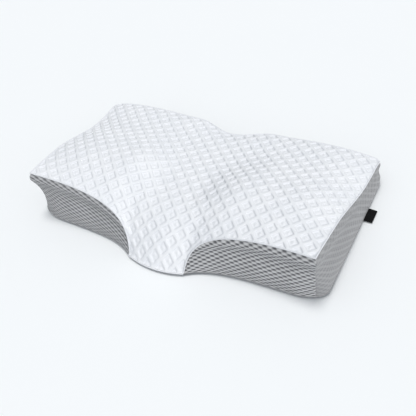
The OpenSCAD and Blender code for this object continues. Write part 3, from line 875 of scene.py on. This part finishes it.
def make_core():
    """The moulded block as one closed form, its edges eased."""
    u, t = even_u(60), even_t(66)
    d, low, rows = 4.1, 3.0, 22
    grid_u, grid_t = np.meshgrid(u, t)
    top = inset(skin_point(grid_u, grid_t), d)
    walls = round_walls(u, t, d, low, rows)
    nt, nu = top.shape[:2]
    rim = np.array([r * nu + c for r, c in rim_walk(nt, nu)])
    n, m = nt * nu, len(rim)
    points = [top.reshape(-1, 3), walls[1:].reshape(-1, 3)]
    faces = [grid_faces(nt, nu)]
    ring_index = np.concatenate([rim[None], n + np.arange((rows - 1) * m).reshape(rows - 1, m)])
    shrink = 12
    floor = walls[-1]
    centre = np.array([0, CENTRE_Y, low])
    for k in range(1, shrink):
        points.append(centre + (floor - centre) * (1 - k / shrink))
        ring_index = np.concatenate([ring_index, (ring_index[-1].max() + 1 + np.arange(m))[None]])
    a, b = ring_index[:-1], ring_index[1:]
    faces.append(np.stack([a, b, np.roll(b, -1, 1), np.roll(a, -1, 1)], -1).reshape(-1, 4))
    count_all = sum(len(x) for x in points)
    points.append(centre[None])
    last = ring_index[-1]
    cap = [[int(last[k]), count_all, int(last[(k + 1) % m])] for k in range(m)]
    mesh = bpy.data.meshes.new("foam_core_block")
    quads = np.concatenate(faces)
    mesh.from_pydata((settle(np.concatenate(points)) * 0.001).tolist(), [], quads.tolist() + cap)
    mesh.polygons.foreach_set("use_smooth", np.ones(len(mesh.polygons), bool))
    mesh.update()
    core = add_object("foam_core_block", mesh, FOAM, slot="foam", replaces=["foam_core"])
    return core


def make_liner():
    u, t = even_u(50), even_t(60)
    grid_u, grid_t = np.meshgrid(u, t)
    top = inset(skin_point(grid_u, grid_t), 3.4)
    wrinkle = 0.12 * np.sin(top[..., 0] / 9 + np.sin(top[..., 1] / 31) * 2) * np.sin(top[..., 1] / 23)
    top = top + normals(top) * wrinkle[..., None]
    mesh = make_mesh("liner_knit_top", top, grid_faces(*top.shape[:2]))
    add_object("liner_knit_top", mesh, LINER, slot="liner_knit", replaces=["liner_top"])
    walls = round_walls(u, t, 2.5, 2.2, 16)
    mesh = make_mesh("liner_knit_wall", walls, grid_faces(*walls.shape[:2], ring=True, flip=True))
    add_object("liner_knit_wall", mesh, LINER, slot="liner_knit", replaces=["liner_wall"])
    foot = walls[-1]
    centre = np.array([0, CENTRE_Y, 2.3])
    rows = np.stack([centre + (foot * [1, 1, 0] + [0, 0, 2.3] - centre) * k / 30 for k in range(31)])
    mesh = make_mesh("liner_knit_base", rows, grid_faces(*rows.shape[:2], ring=True, flip=True))
    add_object("liner_knit_base", mesh, LINER, slot="liner_knit", replaces=["liner_base"])


make_core()
make_liner()

# ---- zip --------------------------------------------------------------------------------------

TAPE_Y = BACK_Y - 1.8
COIL_Y = BACK_Y + 0.05


def make_tape(side, name, cad):
    """A woven tape with a selvedge bead along the coil."""
    x = np.linspace(TAPE_HALF, -TAPE_HALF, count(500, 2.5))
    z = ZIP_Z + side * np.array([5.9, 5.0, 3.5, 2.2, 1.4, 0.75, 0.6, 0.6, 0.8, 2.0, 4.0, 5.9])
    y = TAPE_Y + np.array([0.6, 0.6, 0.6, 0.62, 0.75, 0.72, 0.5, 0.15, 0.0, 0.0, 0.0, 0.0])
    z, y = np.append(z, z[0]), np.append(y, y[0])
    points = np.stack([np.broadcast_to(x, (len(z), len(x))), np.broadcast_to(y[:, None], (len(z), len(x))),
                       np.broadcast_to(z[:, None], (len(z), len(x)))], -1)
    points[:, :, 1] += 0.03 * np.sin(points[:, :, 0] * 2.1)
    mesh = make_mesh(name, points, grid_faces(*points.shape[:2], flip=side > 0))
    add_object(name, mesh, TAPE, slot="zip_tape", replaces=[cad])


def make_coil(side, name, cad):
    """Nylon loops: a flattened helix along the zip."""
    pitch, turn = 1.5, 12
    n = int((2 * ZIP_HALF - 5.4) / pitch)
    a = np.linspace(0, 2 * np.pi * n, turn * n + 1)
    x = np.linspace(ZIP_HALF - 2.7, -ZIP_HALF + 2.7, len(a))
    height = 1.45 + 1.15 * np.cos(a + (side > 0) * np.pi)
    path = np.stack([x, COIL_Y + 0.7 * np.sin(a), ZIP_Z + side * height], -1)
    tube(name, path, 0.36, COIL, sides=6, slot="zip_coil", replaces=[cad])


make_tape(1, "zip_tape_upper_woven", "zip_tape_upper")
make_tape(-1, "zip_tape_lower_woven", "zip_tape_lower")
make_coil(1, "zip_coil_upper_loops", "zip_coil_upper")
make_coil(-1, "zip_coil_lower_loops", "zip_coil_lower")


def stitch_line(name, z, x0, x1, y):
    """A row of lock stitches on the back wall."""
    points, faces = [], []
    profile = np.array([[-1.15, -0.1], [-0.9, 0.22], [0, 0.3], [0.9, 0.22], [1.15, -0.1]])
    ring = np.linspace(0, 2 * np.pi, 6, endpoint=False)
    for x in np.arange(x0, x1, 3.1):
        start = len(points)
        for along_x, lift in profile:
            radius = 0.1 if abs(along_x) > 1 else 0.24
            points += [(x + along_x, y + lift + radius * math.cos(a), z + radius * math.sin(a)) for a in ring]
        for k in range(4):
            for j in range(6):
                a, b = start + k * 6 + j, start + k * 6 + (j + 1) % 6
                faces.append((a, b, b + 6, a + 6))
    mesh = make_mesh(name, points, faces)
    add_object(name, mesh, THREAD, slot="mesh_grey")


stitch_line("stitches_above_zip", STRIP_HIGH + 2.2, -TAPE_HALF, TAPE_HALF, BACK_Y - 0.1)
stitch_line("stitches_below_zip", STRIP_LOW - 2.2, -TAPE_HALF, TAPE_HALF, BACK_Y - 0.1)


def end_tab(side):
    """A folded patch of band fabric over each end of the zip."""
    x = np.linspace(TAPE_HALF + 0.2, CORNER_U * BACK_HALF, 16) * side
    z = np.linspace(STRIP_LOW, STRIP_HIGH, 14)
    gx, gz = np.meshgrid(x if side < 0 else x[::-1], z)
    y = BACK_Y - 0.3 + 0.35 * np.cos((gz - ZIP_Z) / ZIP_GAP * np.pi / 2)
    fold = np.abs(np.abs(gx) - TAPE_HALF - 0.2)
    y = y - 1.2 * smooth(1.0, 0, fold)
    points = np.stack([gx, y, gz], -1)
    uv = woven(x[0] - gx, gz - BASE_T, WEAVE_SIDE)
    name = "zip_tab_right" if side > 0 else "zip_tab_left"
    mesh = make_mesh(name, points, grid_faces(*gx.shape), uv)
    cad = "zip_end_tab_right" if side > 0 else "zip_end_tab_left"
    add_object(name, mesh, MESH_SIDE, slot="mesh_grey", replaces=[cad])


end_tab(1)
end_tab(-1)

for name, width in (("zip_top_stop", 0.5), ("zip_bottom_stop", 0.5), ("slider_body", 0.35),
                    ("slider_bridge", 0.3), ("pull_tab", 0.25)):
    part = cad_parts[name]
    part.data.materials.clear()
    part.data.materials.append(METAL)
    bevel = part.modifiers.new("eased edges", "BEVEL")
    bevel.width = width * 0.001
    bevel.segments = 3
    bevel.limit_method = "ANGLE"
    bevel.angle_limit = math.radians(40)

# ---- label --------------------------------------------------------------------------------------


def make_label():
    """A ribbon folded in half: up from the seam, out to the fold and back underneath."""
    half_loop = []
    reach = LABEL_REACH - 1.0
    for k in np.linspace(0, 1, 18):
        half_loop.append((k * reach, 0.42 + 0.25 * math.sin(math.pi * k)))
    for a in np.linspace(80, -80, 9):
        half_loop.append((reach + 0.5 * math.cos(math.radians(a)), 0.48 * math.sin(math.radians(a))))
    for k in np.linspace(1, 0, 18):
        half_loop.append((k * reach, -0.42 + 0.1 * math.sin(math.pi * k)))
    loop = np.array(half_loop)
    y = np.linspace(-LABEL_LENGTH / 2, LABEL_LENGTH / 2, 40)
    rows = []
    for x, z in loop:
        share = x / reach
        droop = -1.0 * share**2
        curl = 0.35 * share * np.cos(y / LABEL_LENGTH * 2 * np.pi)
        out = np.full_like(y, BASE_HALF + 0.35 + x)
        rows.append(np.stack([out, LABEL_Y + y, LABEL_Z + z + droop + curl], -1))
    points = np.stack(rows)
    mesh = make_mesh("side_label_ribbon", points, grid_faces(*points.shape[:2]))
    add_object("side_label_ribbon", mesh, RIBBON, body="label", slot="label_black",
               replaces=["side_label"])


make_label()

# ---- stage, light and camera ---------------------------------------------------------------------


def make_floor():
    mesh = bpy.data.meshes.new("floor")
    corners = [(x * FLOOR_HALF, y * FLOOR_HALF, FLOOR_Z) for x, y in ((-1, -1), (1, -1), (1, 1), (-1, 1))]
    mesh.from_pydata(corners, [], [(0, 1, 2, 3)])
    floor = bpy.data.objects.new("floor", mesh)
    bpy.context.scene.collection.objects.link(floor)
    m = Shader("pale floor", 0.9)
    m.bsdf.inputs["Specular IOR Level"].default_value = 0.1
    grain = m.math("MULTIPLY", m.noise(0.4, 2), 0.02)
    mesh.materials.append(m.finish(m.colour(grain, (0.92, 0.94, 0.955), (0.9, 0.925, 0.945))))


def sun_light(name, azimuth, elevation, softness, power, colour, floor_state=None):
    """A wide soft light from an azimuth measured from the front towards +X, angles in degrees.
    floor_state EXCLUDE keeps it off the floor, and INCLUDE keeps it off all but the floor."""
    lamp = bpy.data.lights.new(name, "SUN")
    lamp.angle, lamp.energy, lamp.color = math.radians(softness), power, colour
    made = bpy.data.objects.new(name, lamp)
    bpy.context.scene.collection.objects.link(made)
    a, e = math.radians(azimuth), math.radians(elevation)
    toward = Vector((math.sin(a) * math.cos(e), -math.cos(a) * math.cos(e), math.sin(e)))
    made.location = 3 * toward
    made.rotation_mode = "QUATERNION"
    made.rotation_quaternion = toward.to_track_quat("Z", "Y")
    if floor_state:
        lit = bpy.data.collections.new(name + " floor link")
        lit.objects.link(bpy.data.objects["floor"])
        lit.collection_objects[0].light_linking.link_state = floor_state
        made.light_linking.receiver_collection = lit


def make_camera():
    turn, rise, roll = (math.radians(v) for v in (37.71, 45.77, -13.08))
    distance, focal, slide_x, slide_y = 1.20908, 608.45, -0.00997, 0.06592
    back = Vector((math.sin(turn) * math.cos(rise), -math.cos(turn) * math.cos(rise), math.sin(rise)))
    right = Vector((math.cos(turn), math.sin(turn), 0))
    up = back.cross(right)
    right, up = (math.cos(roll) * right + math.sin(roll) * up, math.cos(roll) * up - math.sin(roll) * right)
    camera = bpy.data.objects.new("camera", bpy.data.cameras.new("camera"))
    bpy.context.scene.collection.objects.link(camera)
    camera.rotation_mode = "QUATERNION"
    camera.rotation_quaternion = Matrix((right, up, back)).transposed().to_quaternion()
    camera.location = Vector((0, 0.158, 0.05)) + distance * back - slide_x * right - slide_y * up
    camera.data.sensor_width = 36
    camera.data.lens = 36 * focal / 416
    camera.data.clip_start, camera.data.clip_end = 0.01, 50
    bpy.context.scene.camera = camera


make_floor()
world = bpy.data.worlds.new("studio")
world.use_nodes = True
world.node_tree.nodes["Background"].inputs["Color"].default_value = (0.93, 0.965, 1.0, 1)
world.node_tree.nodes["Background"].inputs["Strength"].default_value = 0.51
bpy.context.scene.world = world
WARM = (1.0, 0.985, 0.965)
sun_light("key", 70, 46, 30, 1.85, WARM, "EXCLUDE")
sun_light("key on the floor", 205, 80, 18, 1.335, WARM, "INCLUDE")
sun_light("fill from above", -70, 76, 60, 0.36, (0.96, 0.98, 1.0))
bpy.context.scene.view_settings.view_transform = "Standard"
make_camera()
